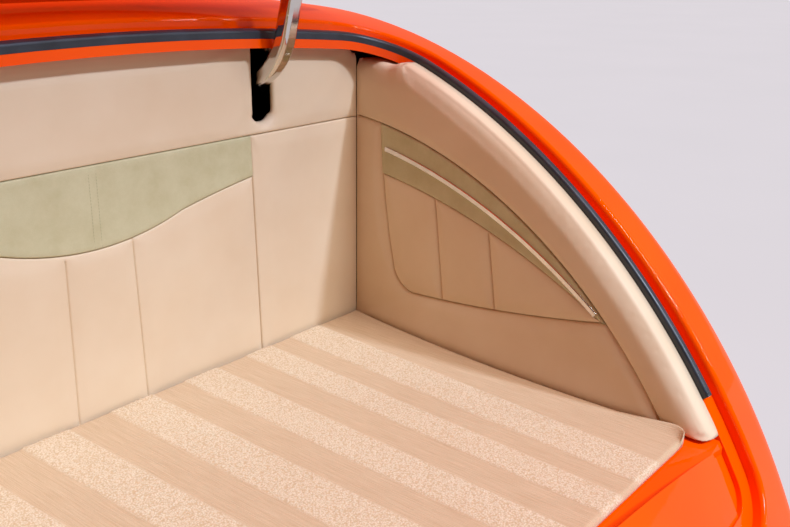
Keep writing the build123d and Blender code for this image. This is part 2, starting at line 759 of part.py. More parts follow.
write(make_all())
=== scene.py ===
import json
import math
import bmesh
import bpy
import numpy as np
from mathutils import Matrix, Vector
from mathutils.geometry import delaunay_2d_cdt


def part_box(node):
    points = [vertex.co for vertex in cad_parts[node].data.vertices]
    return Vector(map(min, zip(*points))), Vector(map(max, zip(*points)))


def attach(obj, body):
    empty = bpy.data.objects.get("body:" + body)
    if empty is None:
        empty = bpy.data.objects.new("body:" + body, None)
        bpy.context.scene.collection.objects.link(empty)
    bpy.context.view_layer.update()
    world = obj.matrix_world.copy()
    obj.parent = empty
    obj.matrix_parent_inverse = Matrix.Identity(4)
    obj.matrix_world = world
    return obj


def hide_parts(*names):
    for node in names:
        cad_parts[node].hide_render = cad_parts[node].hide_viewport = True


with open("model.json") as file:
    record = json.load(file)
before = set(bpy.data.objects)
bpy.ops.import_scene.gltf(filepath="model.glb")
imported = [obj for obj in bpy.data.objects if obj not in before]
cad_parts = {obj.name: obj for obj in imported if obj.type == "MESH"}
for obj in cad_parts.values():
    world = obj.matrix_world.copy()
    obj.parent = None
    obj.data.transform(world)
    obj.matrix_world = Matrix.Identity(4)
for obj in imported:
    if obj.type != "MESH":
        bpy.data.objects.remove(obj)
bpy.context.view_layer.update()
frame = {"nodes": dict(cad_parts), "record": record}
scene = bpy.context.scene
print("frame loaded")

# Places are given in the boot's own millimetres: X to the right, Y forward from the carpet's
# rear edge, Z up from the carpet's top. at() turns them to the frame's metres.
carpetLow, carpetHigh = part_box("carpet")
bootOrigin = Vector((0, carpetLow.y, carpetHigh.z))
bulkheadY = 670              # face of the bulkhead lining
liningHalf = 532             # face of the side lining, at the bulkhead
liningTaper = 0.075          # how much nearer it comes for each millimetre towards the rear
floorZ = (carpetLow.z - carpetHigh.z) * 1000


def at(x, y, z):
    return bootOrigin + Vector((x, y, z)) / 1000


# Camera, at the place and angle of the photograph
cameraSpec = {"place": (-688.5, -412.1, 640), "heading": 50.9277, "pitch": 18.6865, "roll": 0.7962,
              "lens": 42.673, "sensor": 36}


def makeCamera():
    heading, pitch, roll = (math.radians(cameraSpec[k]) for k in ("heading", "pitch", "roll"))
    ahead = Vector((math.cos(pitch) * math.sin(heading), math.cos(pitch) * math.cos(heading), -math.sin(pitch)))
    right = Vector((math.cos(heading), -math.sin(heading), 0))
    up = right.cross(ahead)
    rolledRight = right * math.cos(roll) + up * math.sin(roll)
    rolledUp = up * math.cos(roll) - right * math.sin(roll)
    camera = bpy.data.objects.new("camera", bpy.data.cameras.new("camera"))
    camera.data.sensor_width = cameraSpec["sensor"]
    camera.data.lens = cameraSpec["lens"]
    camera.matrix_world = Matrix.Translation(at(*cameraSpec["place"])) @ Matrix(
        (rolledRight, rolledUp, -ahead)).transposed().to_4x4()
    scene.collection.objects.link(camera)
    scene.camera = camera


def toLinear(hexColour):
    parts = [int(hexColour[i:i + 2], 16) / 255 for i in (1, 3, 5)]
    return [c / 12.92 if c <= 0.04045 else ((c + 0.055) / 1.055) ** 2.4 for c in parts] + [1]


def addNode(tree, kind, settings=(), inputs=(), out=None):
    node = tree.nodes.new("ShaderNode" + kind)
    for name, value in dict(settings).items():
        setattr(node, name, value)
    for name, value in dict(inputs).items():
        if isinstance(value, bpy.types.NodeSocket):
            tree.links.new(value, node.inputs[name])
        else:
            node.inputs[name].default_value = value
    return node if out is None else node.outputs[out]


# Studio: a white wall on the right, a dim surround that glows warm over the front, and three lamps
# behind the tail. "away" points from the boot to the lamp, and the angle sets how soft its shadows are.
studioSpec = {
    "lamps": {
        "rearLamp": {"away": (0.171, -0.712, 0.683), "angle": 4.0, "power": 2.26, "colour": "#C4DBFF"},
        "sideLamp": {"away": (0.651, -0.651, 0.39), "angle": 6, "power": 0.22, "colour": "#FFFFFF"},
        "ceilingLamp": {"away": (0.0, -0.6, 0.8), "angle": 24, "power": 2.65, "colour": "#F1F8FF"},
    },
    "dim": "#4A2E1E", "wall": "#9C9A9A", "wallSide": (0.975, 0.10, -0.20), "wallFrom": 0.50, "wallTo": 0.80,
    "warm": "#FF7A34", "warmSide": (0.0, 0.55, 0.83), "warmFrom": 0.45, "warmTo": 0.85,
    "strength": 1.0, "backdrop": "#D8DBDF",
    "floor": "#7C7D7D", "floorMottle": "#838484", "floorGlow": 0.62, "floorSize": 90, "floorCloud": 900,
}


def makeLights():
    for name, spec in studioSpec["lamps"].items():
        light = bpy.data.lights.new(name, "SUN")
        light.angle = math.radians(spec["angle"])
        light.energy = spec["power"]
        light.color = toLinear(spec["colour"])[:3]
        lamp = bpy.data.objects.new(name, light)
        lamp.rotation_mode = "QUATERNION"
        lamp.rotation_quaternion = Vector(spec["away"]).to_track_quat("Z", "Y")
        scene.collection.objects.link(lamp)


def makeSurround():
    world = bpy.data.worlds.new("studio")
    world.use_nodes = True
    tree = world.node_tree
    tree.nodes.clear()
    direction = addNode(tree, "TexCoord", out="Generated")
    light = toLinear(studioSpec["dim"])
    for zone in ("wall", "warm"):
        towards = addNode(tree, "VectorMath", {"operation": "DOT_PRODUCT"}, {
            0: direction, 1: Vector(studioSpec[zone + "Side"]).normalized()}, "Value")
        share = addNode(tree, "MapRange", {"interpolation_type": "SMOOTHSTEP"}, {
            "Value": towards, "From Min": studioSpec[zone + "From"],
            "From Max": studioSpec[zone + "To"]}, "Result")
        light = addNode(tree, "Mix", {"data_type": "RGBA"}, {
            0: share, 6: light, 7: toLinear(studioSpec[zone])}, 2)
    seen = addNode(tree, "LightPath", out="Is Camera Ray")
    shown = addNode(tree, "Mix", {"data_type": "RGBA"}, {
        0: seen, 6: light, 7: toLinear(studioSpec["backdrop"])}, 2)
    surround = addNode(tree, "Background", {}, {"Color": shown, "Strength": studioSpec["strength"]}, "Background")
    addNode(tree, "OutputWorld", {}, {"Surface": surround})
    scene.world = world
    scene.view_settings.view_transform = "Standard"


def newMaterial(name):
    material = bpy.data.materials.new(name)
    material.use_nodes = True
    material.node_tree.nodes.clear()
    return material, material.node_tree


def perMetre(millimetres):
    return 1000 / millimetres


# Orange two-stage paint, sprayed over pressed steel and clear-coated: deep colour under a wet gloss,
# with the faint orange peel that a spray gun leaves. The peel's lumps are 5 mm.
def sprayedPaint():
    material, tree = newMaterial("sprayedPaint")
    place = addNode(tree, "TexCoord", out="Object")
    drift = addNode(tree, "TexNoise", {}, {"Vector": place, "Scale": perMetre(220)}, "Fac")
    share = addNode(tree, "MapRange", {}, {"Value": drift, "From Min": 0.35, "From Max": 0.65}, "Result")
    colour = addNode(tree, "Mix", {"data_type": "RGBA"}, {
        0: share, 6: toLinear("#FF5600"), 7: toLinear("#FA4E00")}, 2)
    peel = addNode(tree, "TexNoise", {}, {"Vector": place, "Scale": perMetre(5), "Detail": 1}, "Fac")
    wet = addNode(tree, "Bump", {}, {"Height": peel, "Distance": 0.00005, "Strength": 0.1}, "Normal")
    surface = addNode(tree, "BsdfPrincipled", {}, {
        "Base Color": colour, "Metallic": 0.0, "Roughness": 0.45, "IOR": 1.4, "Specular IOR Level": 0.0,
        "Coat Weight": 0.4, "Coat Roughness": 0.03, "Coat IOR": 1.45, "Coat Normal": wet}, "BSDF")
    addNode(tree, "OutputMaterial", {}, {"Surface": surface})
    return material


# Steel, dipped and baked black: an even satin that clouds a little, with a slight grain.
def dippedBlackSteel():
    material, tree = newMaterial("dippedBlackSteel")
    place = addNode(tree, "TexCoord", out="Object")
    cloud = addNode(tree, "TexNoise", {}, {"Vector": place, "Scale": perMetre(60), "Detail": 4}, "Fac")
    share = addNode(tree, "MapRange", {}, {"Value": cloud, "From Min": 0.3, "From Max": 0.7}, "Result")
    colour = addNode(tree, "Mix", {"data_type": "RGBA"}, {
        0: share, 6: toLinear("#1B1C1E"), 7: toLinear("#242527")}, 2)
    satin = addNode(tree, "MapRange", {}, {"Value": share, "To Min": 0.38, "To Max": 0.5}, "Result")
    grain = addNode(tree, "TexNoise", {}, {"Vector": place, "Scale": perMetre(1.5), "Detail": 3}, "Fac")
    bump = addNode(tree, "Bump", {}, {"Height": grain, "Distance": 0.0001, "Strength": 0.25}, "Normal")
    surface = addNode(tree, "BsdfPrincipled", {}, {
        "Base Color": colour, "Metallic": 0.0, "Roughness": satin, "IOR": 1.5, "Normal": bump}, "BSDF")
    addNode(tree, "OutputMaterial", {}, {"Surface": surface})
    return material


# EPDM rubber, extruded: black with a soft grey bloom on its back, lifted to a blue-grey that is painted
# reflection of the pale surround.
def extrudedRubber():
    material, tree = newMaterial("extrudedRubber")
    place = addNode(tree, "TexCoord", out="Object")
    cloud = addNode(tree, "TexNoise", {}, {"Vector": place, "Scale": perMetre(45), "Detail": 3}, "Fac")
    bloomAndReflection = addNode(tree, "MapRange", {}, {"Value": cloud, "From Min": 0.3, "From Max": 0.7}, "Result")
    # both colours carry a painted reflection of the pale surround; the noise places the lighter tone, part grey
    # bloom and part painted reflection
    colour = addNode(tree, "Mix", {"data_type": "RGBA"}, {
        0: bloomAndReflection, 6: toLinear("#22262B"), 7: toLinear("#32383F")}, 2)
    matt = addNode(tree, "MapRange", {}, {"Value": bloomAndReflection, "To Min": 0.36, "To Max": 0.5}, "Result")
    skin = addNode(tree, "TexNoise", {}, {"Vector": place, "Scale": perMetre(0.9)}, "Fac")
    bump = addNode(tree, "Bump", {}, {"Height": skin, "Distance": 0.00012, "Strength": 0.2}, "Normal")
    surface = addNode(tree, "BsdfPrincipled", {}, {
        "Base Color": colour, "Metallic": 0.0, "Roughness": matt, "IOR": 1.52, "Normal": bump}, "BSDF")
    addNode(tree, "OutputMaterial", {}, {"Surface": surface})
    return material


# Cow hide, pigmented and embossed: a soft sheen broken up by 1.6 mm pebbles and shallow creases.
def pigmentedLeather():
    material, tree = newMaterial("pigmentedLeather")
    place = addNode(tree, "TexCoord", out="Object")
    cloud = addNode(tree, "TexNoise", {}, {
        "Vector": place, "Scale": perMetre(140), "Detail": 4, "Roughness": 0.55}, "Fac")
    share = addNode(tree, "MapRange", {}, {"Value": cloud, "From Min": 0.3, "From Max": 0.7}, "Result")
    colour = addNode(tree, "Mix", {"data_type": "RGBA"}, {
        0: share, 6: toLinear("#DBC09D"), 7: toLinear("#E1C9A8")}, 2)
    crack = addNode(tree, "TexVoronoi", {"feature": "DISTANCE_TO_EDGE"}, {
        "Vector": place, "Scale": perMetre(1.6), "Randomness": 0.9}, "Distance")
    pebble = addNode(tree, "MapRange", {}, {"Value": crack, "From Max": 0.35}, "Result")
    sheen = addNode(tree, "MapRange", {}, {"Value": pebble, "To Min": 0.62, "To Max": 0.48}, "Result")
    fold = addNode(tree, "TexNoise", {}, {"Vector": place, "Scale": perMetre(26), "Detail": 3}, "Fac")
    creased = addNode(tree, "Bump", {}, {"Height": fold, "Distance": 0.0005, "Strength": 0.16}, "Normal")
    bump = addNode(tree, "Bump", {}, {
        "Height": pebble, "Distance": 0.0001, "Strength": 0.18, "Normal": creased}, "Normal")
    surface = addNode(tree, "BsdfPrincipled", {}, {
        "Base Color": colour, "Metallic": 0.0, "Roughness": sheen, "IOR": 1.45, "Specular IOR Level": 0.35,
        "Sheen Weight": 0.06, "Sheen Roughness": 0.4, "Normal": bump}, "BSDF")
    addNode(tree, "OutputMaterial", {}, {"Surface": surface})
    return material


# Split hide, sanded to a nap: no gloss, and patches where the nap was stroked another way.
def sandedSuede():
    material, tree = newMaterial("sandedSuede")
    place = addNode(tree, "TexCoord", out="Object")
    stroked = addNode(tree, "TexNoise", {}, {
        "Vector": place, "Scale": perMetre(38), "Detail": 5, "Roughness": 0.62}, "Fac")
    share = addNode(tree, "MapRange", {}, {"Value": stroked, "From Min": 0.32, "From Max": 0.68}, "Result")
    nap = addNode(tree, "Mix", {"data_type": "RGBA"}, {
        0: share, 6: toLinear("#BEB38A"), 7: toLinear("#CAC099")}, 2)
    fibre = addNode(tree, "TexNoise", {}, {
        "Vector": place, "Scale": perMetre(1.4), "Detail": 4, "Roughness": 0.7}, "Fac")
    fleck = addNode(tree, "MapRange", {}, {
        "Value": fibre, "From Min": 0.35, "From Max": 0.75, "To Max": 0.16}, "Result")
    colour = addNode(tree, "Mix", {"data_type": "RGBA"}, {0: fleck, 6: nap, 7: toLinear("#9C9470")}, 2)
    bump = addNode(tree, "Bump", {}, {"Height": fibre, "Distance": 0.00035, "Strength": 0.35}, "Normal")
    surface = addNode(tree, "BsdfPrincipled", {}, {
        "Base Color": colour, "Metallic": 0.0, "Roughness": 0.95, "IOR": 1.4, "Specular IOR Level": 0.2,
        "Sheen Weight": 0.2, "Sheen Roughness": 0.5, "Sheen Tint": toLinear("#E7E2C9"), "Normal": bump}, "BSDF")
    addNode(tree, "OutputMaterial", {}, {"Surface": surface})
    return material


# Wool carpet, tufted in stripes: cut cord with fine lines along the car, and curled loops between.
# Loops are 2.4 mm and cord lines 1.7 mm, a little coarser than the real ones so that they show.
def tuftedCarpet():
    material, tree = newMaterial("tuftedCarpet")
    place = addNode(tree, "TexCoord", out="Object")
    ribbed = addNode(tree, "Attribute", {"attribute_name": "ribbed"}, {}, "Fac")
    drawn = addNode(tree, "Mapping", {}, {"Vector": place, "Scale": (1, 0.03, 1)}, "Vector")
    line = addNode(tree, "TexNoise", {}, {
        "Vector": drawn, "Scale": perMetre(1.7), "Detail": 3, "Roughness": 0.6}, "Fac")
    cord = addNode(tree, "MapRange", {}, {"Value": line, "From Min": 0.3, "From Max": 0.7}, "Result")
    curl = addNode(tree, "TexVoronoi", {"feature": "SMOOTH_F1"}, {
        "Vector": place, "Scale": perMetre(2.4), "Smoothness": 0.3}, "Distance")
    loop = addNode(tree, "MapRange", {}, {
        "Value": curl, "From Max": 0.75, "To Min": 1, "To Max": 0}, "Result")
    fuzz = addNode(tree, "TexNoise", {}, {
        "Vector": place, "Scale": perMetre(1.3), "Detail": 4, "Roughness": 0.7}, "Fac")
    patch = addNode(tree, "TexNoise", {}, {
        "Vector": place, "Scale": perMetre(60), "Detail": 4, "Roughness": 0.6}, "Fac")
    # loop tops lighter and the hollows between loops darker: painted shade, laid on the same mask as the pile's
    # height
    loopColourWithPaintedShade = addNode(tree, "Mix", {"data_type": "RGBA"}, {
        0: loop, 6: toLinear("#CDB18B"), 7: toLinear("#F0E2C6")}, 2)
    # cord ridges lighter and the grooves between them darker: painted shade, laid on the same mask as the cord's
    # height
    cordColourWithPaintedShade = addNode(tree, "Mix", {"data_type": "RGBA"}, {
        0: cord, 6: toLinear("#C6A883"), 7: toLinear("#D7BB97")}, 2)
    wool = addNode(tree, "Mix", {"data_type": "RGBA"}, {0: ribbed, 6: loopColourWithPaintedShade, 7: cordColourWithPaintedShade}, 2)
    worn = addNode(tree, "MapRange", {}, {
        "Value": patch, "From Min": 0.3, "From Max": 0.7, "To Max": 0.15}, "Result")
    trodden = addNode(tree, "Mix", {"data_type": "RGBA"}, {0: worn, 6: wool, 7: toLinear("#C8A27A")}, 2)
    fleck = addNode(tree, "MapRange", {}, {
        "Value": fuzz, "From Min": 0.4, "From Max": 0.75, "To Max": 0.22}, "Result")
    colour = addNode(tree, "Mix", {"data_type": "RGBA"}, {0: fleck, 6: trodden, 7: toLinear("#9A7956")}, 2)
    height = addNode(tree, "Mix", {"data_type": "FLOAT"}, {0: ribbed, 2: loop, 3: cord}, 0)
    pile = addNode(tree, "Bump", {}, {"Height": height, "Distance": 0.001, "Strength": 0.45}, "Normal")
    bump = addNode(tree, "Bump", {}, {
        "Height": fuzz, "Distance": 0.0006, "Strength": 0.35, "Normal": pile}, "Normal")
    surface = addNode(tree, "BsdfPrincipled", {}, {
        "Base Color": colour, "Metallic": 0.0, "Roughness": 0.96, "IOR": 1.45, "Specular IOR Level": 0.2,
        "Sheen Weight": 0.2, "Sheen Roughness": 0.6, "Sheen Tint": toLinear("#F3E2CB"), "Normal": bump}, "BSDF")
    addNode(tree, "OutputMaterial", {}, {"Surface": surface})
    return material


# Steel bar, bent, ground and plated: mirror-bright, with hairlines 0.8 mm apart from polishing.
def platedSteel():
    material, tree = newMaterial("platedSteel")
    place = addNode(tree, "TexCoord", out="Object")
    haze = addNode(tree, "TexNoise", {}, {"Vector": place, "Scale": perMetre(35), "Detail": 3}, "Fac")
    share = addNode(tree, "MapRange", {}, {"Value": haze, "From Min": 0.3, "From Max": 0.7}, "Result")
    colour = addNode(tree, "Mix", {"data_type": "RGBA"}, {
        0: share, 6: toLinear("#D8D5D0"), 7: toLinear("#C9C5C0")}, 2)
    gloss = addNode(tree, "MapRange", {}, {"Value": share, "To Min": 0.06, "To Max": 0.13}, "Result")
    drawn = addNode(tree, "Mapping", {}, {"Vector": place, "Scale": (1, 0.12, 0.12)}, "Vector")
    hairline = addNode(tree, "TexNoise", {}, {"Vector": drawn, "Scale": perMetre(0.8), "Detail": 3}, "Fac")
    bump = addNode(tree, "Bump", {}, {"Height": hairline, "Distance": 0.00002, "Strength": 0.15}, "Normal")
    surface = addNode(tree, "BsdfPrincipled", {}, {
        "Base Color": colour, "Metallic": 1.0, "Roughness": gloss, "Normal": bump}, "BSDF")
    addNode(tree, "OutputMaterial", {}, {"Surface": surface})
    return material


# Aluminium strip, extruded and polished: a soft mirror that hazes here and there.
def polishedAluminium():
    material, tree = newMaterial("polishedAluminium")
    place = addNode(tree, "TexCoord", out="Object")
    haze = addNode(tree, "TexNoise", {}, {"Vector": place, "Scale": perMetre(20), "Detail": 3}, "Fac")
    share = addNode(tree, "MapRange", {}, {"Value": haze, "From Min": 0.3, "From Max": 0.7}, "Result")
    colour = addNode(tree, "Mix", {"data_type": "RGBA"}, {
        0: share, 6: toLinear("#E6E0D8"), 7: toLinear("#D8D0C6")}, 2)
    gloss = addNode(tree, "MapRange", {}, {"Value": share, "To Min": 0.12, "To Max": 0.2}, "Result")
    surface = addNode(tree, "BsdfPrincipled", {}, {
        "Base Color": colour, "Metallic": 1.0, "Roughness": gloss}, "BSDF")
    addNode(tree, "OutputMaterial", {}, {"Surface": surface})
    return material


# Polyester thread, twisted and waxed: a dull line a little darker than the hide.
def waxedThread():
    material, tree = newMaterial("waxedThread")
    place = addNode(tree, "TexCoord", out="Object")
    twist = addNode(tree, "TexNoise", {}, {"Vector": place, "Scale": perMetre(0.6), "Detail": 2}, "Fac")
    colour = addNode(tree, "Mix", {"data_type": "RGBA"}, {
        0: twist, 6: toLinear("#A0976F"), 7: toLinear("#B6AD88")}, 2)
    surface = addNode(tree, "BsdfPrincipled", {}, {
        "Base Color": colour, "Metallic": 0.0, "Roughness": 0.8, "IOR": 1.5}, "BSDF")
    addNode(tree, "OutputMaterial", {}, {"Surface": surface})
    return material


# Studio floor, rolled out matt and pale, and lit from within so that it stays even.
def paleFloor():
    material, tree = newMaterial("paleFloor")
    place = addNode(tree, "TexCoord", out="Object")
    cloud = addNode(tree, "TexNoise", {}, {
        "Vector": place, "Scale": perMetre(studioSpec["floorCloud"]), "Detail": 3}, "Fac")
    colour = addNode(tree, "Mix", {"data_type": "RGBA"}, {
        0: cloud, 6: toLinear(studioSpec["floor"]), 7: toLinear(studioSpec["floorMottle"])}, 2)
    surface = addNode(tree, "BsdfPrincipled", {}, {
        "Base Color": colour, "Roughness": 0.9, "IOR": 1.45, "Specular IOR Level": 0.0,
        "Emission Color": toLinear(studioSpec["backdrop"]), "Emission Strength": studioSpec["floorGlow"]}, "BSDF")
    addNode(tree, "OutputMaterial", {}, {"Surface": surface})
    return material


def makeFloor():
    bpy.ops.mesh.primitive_plane_add(size=studioSpec["floorSize"], location=(0, 0, -0.0005))
    floor = bpy.context.object
    floor.name = "floor"
    floor.data.materials.append(paleFloor())


finishes = {
    "body_paint": sprayedPaint(), "chassis_paint": dippedBlackSteel(), "seal_rubber": extrudedRubber(),
    "leather": pigmentedLeather(), "suede": sandedSuede(), "carpet": tuftedCarpet(),
    "polished_trim": polishedAluminium(), "polished_arm": platedSteel(),
}


def dressNodes():
    for part in frame["record"]["subparts"]:
        node = frame["nodes"][part["node"]]
        node.data.materials.clear()
        node.data.materials.append(finishes[part["material_slot"]])


# Padded lining. Each pad is a front of small triangles inside its solid's outline, rounded over at
# its seams, with walls and a back, and is blown up against a limit while its seams are held.
# Rounding is given by the way that an edge faces: "up", "down", "fore" and "rear" along the lining,
# where fore is the car's right on the bulkhead and its front on the side lining. Seams are the sewn
# lines across a pad, from end to end. A tuck draws the walls in behind the front beside the hinge
# slots, so that these look black, and an ease softens the step in the side roll's top edge.
padSpec = {
    "gap": 0.15, "step": 6.0, "edgeStep": 4.5, "rings": (0.8, 1.8, 3.2, 5.2, 7.8), "ringShare": 0.85,
    "clear": 10.5, "seamEnd": 0.5, "cornerRound": 0.6, "cornerReach": 3, "sink": 1.2, "sinkRun": 14,
    "cap": 2.2, "held": 2.4, "pressure": 4.0, "frames": 9, "quality": 4, "fill": 0.7,
    "sections": {"bulkhead": {"cut": 12, "back": 23.7}, "side": {"cut": 20, "back": 39.2}},
    "pads": {
        "bulkheadRoll": {"on": "bulkhead", "nodes": ["bulkhead_roll"], "slot": "leather",
                         "round": {"up": 15, "down": 5, "fore": 9, "rear": 9},
                         "tuck": {"by": 15, "near": 316, "within": 30}},
        "bulkheadOuterPanel": {"on": "bulkhead", "slot": "leather",
                               "nodes": ["bulkhead_outer_panel_right", "bulkhead_outer_panel_left"],
                               "round": {"up": 5, "down": 5, "fore": 7, "rear": 6}},
        "bulkheadSuede": {"on": "bulkhead", "nodes": ["bulkhead_suede_insert"], "slot": "suede",
                          "round": {"up": 2.5, "down": 2.5, "fore": 2.5, "rear": 2.5}, "cap": 0.9},
        "bulkheadPleats": {"on": "bulkhead", "nodes": ["bulkhead_pleated_panel"], "slot": "leather",
                           "round": {"up": 5, "down": 5, "fore": 6, "rear": 6}, "seamRound": 4.5,
                           "seams": [[(-50, 237), (-54, -10)], [(57, 245), (63, -10)]]},
        "sideRoll": {"on": "side", "nodes": ["side_roll_right", "side_roll_left"], "slot": "leather",
                     "round": {"up": 20, "down": 6, "fore": 8, "rear": 26},
                     "ease": {"at": 571.2, "run": 36, "lift": 7, "reach": 60, "step": 2, "look": (1, 5)}},
        "sideLower": {"on": "side", "nodes": ["side_lower_trim_right", "side_lower_trim_left"], "slot": "leather",
                      "round": {"up": 8, "down": 6, "fore": 8, "rear": 8},
                      "bow": {"out": 20, "middle": 350, "half": 320, "height": 85, "soft": 3}},
        "sideSuede": {"on": "side", "nodes": ["side_suede_band_right", "side_suede_band_left"], "slot": "suede",
                      "round": {"up": 2.5, "down": 2.5, "fore": 2.5, "rear": 2.5}, "cap": 0.8,
                      "channel": {"cut": 1.5, "lip": 0.6, "floor": 3.4, "rim": 3}},
        "sidePleats": {"on": "side", "nodes": ["side_pleated_insert_right", "side_pleated_insert_left"],
                       "slot": "leather", "round": {"up": 5, "down": 7, "fore": 7, "rear": 5}, "seamRound": 6,
                       "seams": [[(485, 243), (463, 75)], [(371, 210), (352, 86)]]},
    },
}


def liningFrame(on):
    # from the row's metres to the lining's own millimetres: along, up, and in behind its face
    toBoot = Matrix.Scale(1000, 4) @ Matrix.Translation(-bootOrigin)
    if on == "bulkhead":
        return Matrix(((1, 0, 0, 0), (0, 0, 1, 0), (0, 1, 0, -bulkheadY), (0, 0, 0, 1))) @ toBoot
    pivot = Matrix.Translation((liningHalf, bulkheadY, 0))
    square = pivot @ Matrix.Rotation(math.atan(liningTaper), 4, "Z") @ pivot.inverted()
    return Matrix(((0, 1, 0, 0), (0, 0, 1, 0), (1, 0, 0, -liningHalf), (0, 0, 0, 1))) @ square @ toBoot


def sectionLoops(nodeName, turn, depth):
    solid = bmesh.new()
    solid.from_mesh(frame["nodes"][nodeName].data)
    bmesh.ops.remove_doubles(solid, verts=solid.verts, dist=1e-5)
    solid.transform(turn)
    cut = bmesh.ops.bisect_plane(
        solid, geom=solid.verts[:] + solid.edges[:] + solid.faces[:], plane_co=(0, 0, depth), plane_no=(0, 0, 1))
    rim = {e for e in cut["geom_cut"] if isinstance(e, bmesh.types.BMEdge)}
    loops = []
    while rim:
        first = min(rim, key=lambda e: e.index)
        rim.discard(first)
        loop = [first.verts[0], first.verts[1]]
        while loop[-1] != loop[0]:
            onward = [e for e in loop[-1].link_edges if e in rim]
            if not onward:
                break
            rim.discard(onward[0])
            loop.append(onward[0].other_vert(loop[-1]))
        loops.append(np.array([v.co.xy[:] for v in loop[:-1]]))
    solid.free()
    return sorted(loops, key=len, reverse=True) if len(loops) > 1 else loops


def signedArea(loop):
    ahead = np.roll(loop, -1, 0)
    return (loop[:, 0] * ahead[:, 1] - loop[:, 1] * ahead[:, 0]).sum() / 2


def resampled(loop, step, sharp=math.radians(24), same=0.05):
    # even steps between corners, which stay
    keep = np.linalg.norm(loop - np.roll(loop, 1, 0), axis=1) > same
    loop = loop[keep]
    ahead, behind = np.roll(loop, -1, 0) - loop, loop - np.roll(loop, 1, 0)
    turned = np.arctan2(behind[:, 0] * ahead[:, 1] - behind[:, 1] * ahead[:, 0], (behind * ahead).sum(1))
    corners = np.nonzero(np.abs(turned) > sharp)[0]
    start = corners[0] if len(corners) else 0
    loop = np.roll(loop, -start, 0)
    stops = list(corners - start) + [len(loop)] if len(corners) else [0, len(loop)]
    closed = np.concatenate([loop, loop[:1]])
    runs = []
    for a, b in zip(stops, stops[1:]):
        run = closed[a:b + 1]
        along = np.concatenate([[0], np.cumsum(np.linalg.norm(np.diff(run, axis=0), axis=1))])
        places = np.linspace(0, along[-1], max(1, round(along[-1] / step)) + 1)[:-1]
        runs.append(np.stack([np.interp(places, along, run[:, k]) for k in (0, 1)], 1))
    return np.concatenate(runs)


def inwardNormals(loop, leastShare=0.35):
    # for a loop that runs anticlockwise, lengthened at corners so that both sides move evenly
    ahead, behind = np.roll(loop, -1, 0) - loop, loop - np.roll(loop, 1, 0)
    ahead /= np.linalg.norm(ahead, axis=1)[:, None]
    behind /= np.linalg.norm(behind, axis=1)[:, None]
    first = np.stack([-behind[:, 1], behind[:, 0]], 1)
    second = np.stack([-ahead[:, 1], ahead[:, 0]], 1)
    middle = first + second
    middle /= np.linalg.norm(middle, axis=1)[:, None]
    return middle / np.maximum((middle * first).sum(1), leastShare)[:, None]


def distanceTo(points, starts, ends):
    # from each point to the nearest of some straight runs
    best = np.full(len(points), 1e9)
    for a, b in zip(starts, ends):
        run = b - a
        t = np.clip(((points - a) @ run) / max(run @ run, 1e-9), 0, 1)
        best = np.minimum(best, np.linalg.norm(points - a - t[:, None] * run, axis=1))
    return best


def insideOf(points, loop):
    inside = np.zeros(len(points), bool)
    for a, b in zip(loop, np.roll(loop, -1, 0)):
        if a[1] == b[1]:
            continue
        level = (points[:, 1] < max(a[1], b[1])) & (points[:, 1] >= min(a[1], b[1]))
        cross = a[0] + (points[:, 1] - a[1]) * (b[0] - a[0]) / (b[1] - a[1])
        inside ^= level & (points[:, 0] < cross)
    return inside


def easedLoop(loop, ease):
    # turns the step in the roll's top edge to a soft rise, and lifts the low stretch ahead of it
    loop = resampled(loop, ease["step"])
    near, far = ease["look"]
    past = loop[:, 0] - ease["at"]
    highZ, lowZ = loop[(past > -far) & (past < -near), 1].max(), loop[(past > near) & (past < far), 1].max()
    share = np.clip((ease["at"] + ease["run"] - loop[:, 0]) / ease["run"], 0, 1)
    share = share * share * (3 - 2 * share)
    top = (past > -near) & (loop[:, 1] > highZ - ease["reach"])
    loop[top, 1] += ease["lift"] + (highZ - ease["lift"] - lowZ) * share[top]
    loop[top, 1] = np.minimum(loop[top, 1], highZ)
    return loop


def facing(loop, on):
    # the way that each run of an outline faces, or "corner" where bulkhead and side meet
    run = np.roll(loop, -1, 0) - loop
    out = np.stack([run[:, 1], -run[:, 0]], 1) / np.linalg.norm(run, axis=1)[:, None]
    names = np.where(out[:, 0] > 0, "fore", "rear")
    names = np.where(np.abs(out[:, 1]) > 0.5, np.where(out[:, 1] > 0, "up", "down"), names)
    along = (loop + run / 2)[:, 0]
    reach = padSpec["cornerReach"]
    corner = np.abs(along) > liningHalf - reach if on == "bulkhead" else along > bulkheadY - reach
    return np.where(corner, "corner", names)


def quarterRound(distance, radius):
    inside = np.clip(radius - distance, 0, radius)
    return radius - np.sqrt(radius**2 - inside**2)


def triangulated(points, loops, lines):
    edges = [(a, b) for line in lines for a, b in zip(line, line[1:])]
    found = delaunay_2d_cdt([Vector(p) for p in points.tolist()], edges, loops, 1, 1e-4)
    return np.array([p[:] for p in found[0]]), [tuple(face) for face in found[2]]


